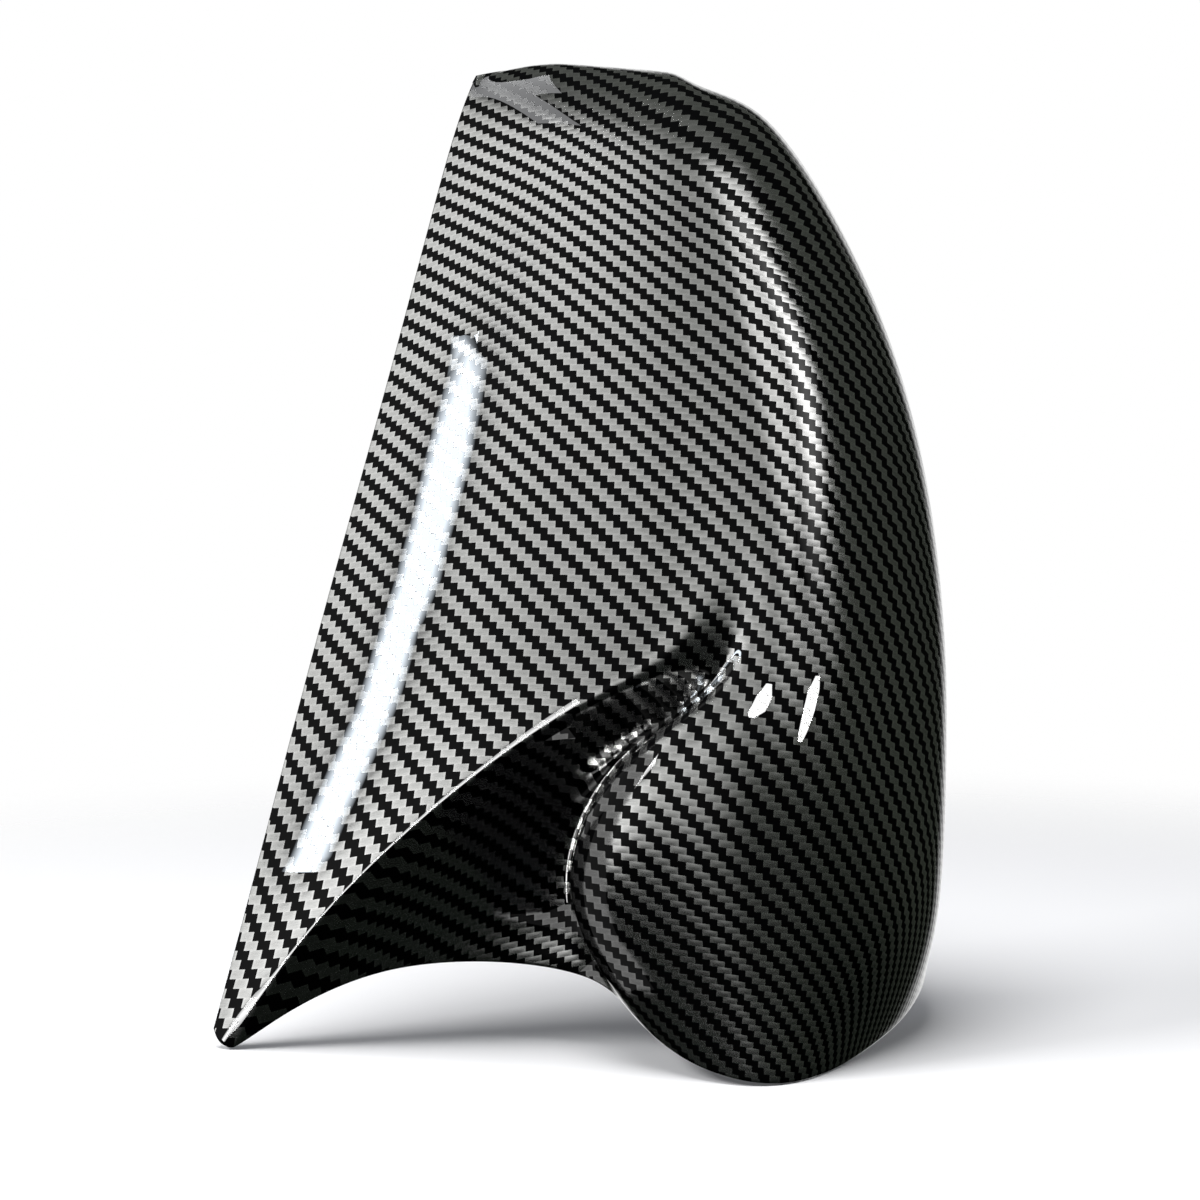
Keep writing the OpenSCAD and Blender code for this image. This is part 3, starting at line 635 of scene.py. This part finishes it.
# The lacquer's sharp gloss shows this share of the boxes, and the light cards in full
SHARP_SHARE = 0.2


def studio_world():
    """White to the camera, one plain light to matt surfaces, soft boxes and shade to glossy ones."""
    n = Nodes(bpy.data.worlds.new("studio"))
    bpy.context.scene.world = n.owner
    path = n.new("ShaderNodeLightPath")
    where = n.new("ShaderNodeTexCoord")
    split = n.new("ShaderNodeSeparateXYZ")
    n.link(where.outputs["Generated"], split.inputs[0])
    x, y, z = split.outputs
    azimuth = n.math("DEGREES", n.math("ARCTAN2", x, n.math("MULTIPLY", y, -1.0)))
    elevation = n.math("DEGREES", n.math("ARCSINE", z))

    def within(value, span):
        return n.math("MULTIPLY", n.ramp(value, span[0], span[1]),
                      n.math("SUBTRACT", 1.0, n.ramp(value, span[2], span[3])))

    light = 0.0
    for level, azimuths, elevations in BOXES:
        box = n.math("MULTIPLY", within(azimuth, azimuths), within(elevation, elevations))
        light = n.math("ADD", light, n.math("MULTIPLY", box, level))
    shade = n.mix(n.ramp(elevation, LOW_FROM, LOW_TO), LOW_SHADE, SHADE)
    boxes = n.mix(1.0, shade, light, "ADD")
    dim = n.mix(path.outputs["Is Singular Ray"], WHITE, (SHARP_SHARE,) * 3)
    shown = n.mix(n.ramp(y, BEHIND_FROM, BEHIND_TO), n.mix(1.0, boxes, dim, "MULTIPLY"), WHITE)
    mirrored = n.math("MAXIMUM", path.outputs["Is Glossy Ray"], path.outputs["Is Transmission Ray"])
    colour = n.mix(mirrored, PLAIN_LIGHT, shown)
    colour = n.mix(path.outputs["Is Camera Ray"], colour, WHITE)
    back = n.new("ShaderNodeBackground")
    n.link(colour, back.inputs["Color"])
    n.finish(back.outputs[0], "ShaderNodeOutputWorld")


def lamp(name, place, target, size, watts):
    """A square soft lamp that the gloss doesn't mirror."""
    light = bpy.data.lights.new(name, "AREA")
    light.size = size
    light.energy = watts
    obj = link(bpy.data.objects.new(name, light))
    obj.location = place
    obj.rotation_euler = (Vector(target) - Vector(place)).to_track_quat("-Z", "Y").to_euler()
    obj.visible_glossy = obj.visible_camera = False


# Light cards that only the gloss shows: name, what sees it (the sharp gloss, all gloss, or all gloss from the
# front alone), strength, colour, shares of the strength across, and rows of a share along and points in mm
CARDS = [
    ("tall_strip", "sharp", 27, (0.84, 0.92, 1), (0, 1, 1, 0), [
        (0.3, (-594, -176, 322), (-587, -197, 318), (-584, -204, 317), (-576, -225, 312)),
        (0.8, (-592, -188, 315), (-585, -206, 311), (-577, -225, 306), (-568, -246, 301)),
        (1, (-590, -200, 302), (-575, -230, 313), (-570, -249, 291), (-558, -270, 292)),
        (1, (-594, -211, 273), (-584, -234, 270), (-559, -285, 260), (-548, -305, 255)),
        (1, (-595, -223, 247), (-585, -245, 245), (-558, -296, 238), (-546, -316, 235)),
        (1, (-604, -219, 216), (-593, -243, 216), (-564, -295, 213), (-551, -317, 212)),
        (1, (-618, -204, 174), (-608, -227, 174), (-585, -272, 173), (-572, -292, 182)),
        (1, (-626, -202, 130), (-616, -224, 127), (-597, -264, 122), (-584, -286, 120)),
        (1, (-636, -190, 98), (-628, -210, 95), (-608, -251, 87), (-597, -272, 82)),
        (1, (-645, -182, 57), (-637, -200, 53), (-619, -236, 45), (-608, -259, 39)),
        (1, (-648, -180, 26), (-641, -196, 22), (-623, -233, 12), (-610, -257, 3)),
        (1, (-651, -176, 13), (-644, -191, 9), (-630, -219, 1), (-618, -243, -7)),
    ]),
    ("shoulder_strip", "gloss", 2.2, (1, 1, 1), (0, 1, 0), [
        (0.6, (216, -689, 414), (425, -572, 453), (531, -465, 474)),
        (0.8, (427, -591, 402), (535, -486, 426), (626, -349, 442)),
        (1, (475, -565, 369), (593, -431, 389), (663, -304, 400)),
        (1, (541, -520, 319), (640, -387, 333), (701, -252, 340)),
        (1, (545, -530, 259), (639, -411, 271), (705, -277, 279)),
        (0.8, (508, -574, 191), (607, -471, 203), (681, -354, 213)),
        (0.4, (461, -614, 130), (562, -527, 142), (642, -428, 152)),
        (0, (418, -641, 74), (514, -572, 84), (600, -486, 92)),
    ]),
    ("low_card_a", "sharp", 26, (1, 1, 1), (1, 1), [
        (1, (75, -164, 88), (84, -161, 86)),
        (1, (64, -166, 86), (86, -160, 81)),
        (1, (59, -166, 79), (80, -161, 75)),
        (1, (61, -166, 75), (68, -164, 73)),
    ]),
    ("low_card_b", "sharp", 26, (1, 1, 1), (1, 1), [
        (1, (137, -132, 86), (142, -127, 86)),
        (1, (128, -138, 80), (142, -127, 80)),
        (1, (124, -140, 71), (138, -130, 70)),
        (1, (121, -141, 61), (131, -133, 61)),
        (1, (120, -140, 56), (125, -137, 55)),
    ]),
    ("top_window", "sharp", 4, (0.97, 0.98, 1), (1, 1), [
        (1, (-116, -56, 287), (-94, -81, 293)),
        (1, (-110, -12, 306), (-86, 12, 327)),
        (1, (-92, -31, 313), (-70, 7, 333)),
        (1, (-71, -40, 325), (-46, 15, 340)),
    ]),
    ("lobe_flag", "front", 0.16, (1, 1, 1), (1, 1, 1), [
        (1, (2, -33, 60), (-3, -32, 91), (1, -58, 87)),
        (1, (-13, -27, 59), (-12, -38, 80), (-5, -57, 75)),
        (1, (2, -16, 2), (-17, -39, 68), (-9, -54, 64)),
        (1, (9, -2, 52), (-19, -37, 56), (-12, -51, 53)),
        (1, (11, 2, 45), (-20, -34, 45), (-13, -47, 43)),
        (1, (-24, -8, 30), (-18, -29, 34), (-12, -43, 33)),
        (1, (12, 5, 36), (-13, -27, 23), (-9, -40, 23)),
        (1, (-3, -5, 19), (-7, -29, 14), (-3, -41, 15)),
        (1, (3, -3, 12), (-2, -27, 7), (2, -40, 7)),
    ]),
    ("crest_strip", "sharp", 26, (1, 1, 1), (0.4, 1, 0.4), [
        (1, (-143, -23, -15), (-139, -25, -20), (-135, -27, -26)),
        (1, (-127, -33, 1), (-122, -35, -4), (-118, -37, -9)),
        (1, (-117, -38, 12), (-113, -41, 8), (-108, -43, 3)),
        (1, (-107, -44, 24), (-102, -46, 19), (-98, -49, 14)),
        (1, (-97, -49, 35), (-92, -52, 30), (-88, -54, 25)),
        (1, (-91, -53, 42), (-86, -55, 37), (-82, -57, 32)),
        (1, (-78, -59, 56), (-73, -61, 50), (-69, -63, 45)),
        (1, (-66, -64, 66), (-62, -66, 60), (-58, -67, 54)),
        (1, (-57, -68, 72), (-53, -69, 67), (-49, -71, 61)),
        (1, (-48, -71, 79), (-44, -72, 73), (-40, -74, 68)),
        (1, (-27, -78, 94), (-23, -79, 88), (-19, -80, 82)),
    ]),
]


def light_card(name, seen, glow, colour, profile, rows):
    """A luminous sheet through rows of points."""
    n = Nodes(bpy.data.materials.new(name))
    level = n.new("ShaderNodeAttribute", attribute_name="glow")
    light = n.new("ShaderNodeEmission")
    light.inputs["Color"].default_value = (*colour, 1)
    glow = n.math("MULTIPLY", level.outputs["Fac"], glow)
    if seen == "sharp":
        glow = n.math("MULTIPLY", glow, n.new("ShaderNodeLightPath").outputs["Is Singular Ray"])
    elif seen == "front":
        behind = n.new("ShaderNodeNewGeometry").outputs["Backfacing"]
        glow = n.math("MULTIPLY", glow, n.math("SUBTRACT", 1.0, behind))
    n.link(glow, light.inputs["Strength"])
    width = len(profile)
    points = (np.array([row[1:] for row in rows], float) / 1000).reshape(-1, 3)
    faces = [(j * width + i, j * width + i + 1, (j + 1) * width + i + 1, (j + 1) * width + i)
             for j in range(len(rows) - 1) for i in range(width - 1)]
    mesh = bpy.data.meshes.new(name)
    mesh.from_pydata(points.tolist(), [], faces)
    shade = mesh.attributes.new("glow", "FLOAT", "POINT")
    shade.data.foreach_set("value", [row[0] * share for row in rows for share in profile])
    mesh.materials.append(n.finish(light.outputs[0]))
    card = link(bpy.data.objects.new(name, mesh))
    card.visible_camera = card.visible_diffuse = card.visible_shadow = False


def lights():
    lamp("key_soft", (-1.15, -0.70, 1.05), (0, 0, 0.12), 0.5, 15)
    lamp("front_top", (-0.15, -0.55, 1.30), (0, 0, 0), 0.6, 16)
    for card in CARDS:
        light_card(*card)


def camera():
    view = bpy.data.cameras.new("camera")
    view.lens, view.sensor_width = 81, 36
    view.clip_start = 0.01
    obj = link(bpy.data.objects.new("camera", view))
    obj.location = (0.00403, -0.68006, 0.15781)
    obj.rotation_euler = (math.radians(86.4), 0, 0)
    bpy.context.scene.camera = obj


camera()
floor_disc()
studio_world()
lights()
cover = build_cover()
hooks = build_hooks()
plastic = plastic_material()
cover.data.materials.append(carbon_material())
cover.data.materials.append(plastic)
hooks.data.materials.append(plastic)
for piece in (cover, hooks):
    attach(piece, "root")
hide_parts("cover_shell")
bpy.context.scene.view_settings.view_transform = "Standard"
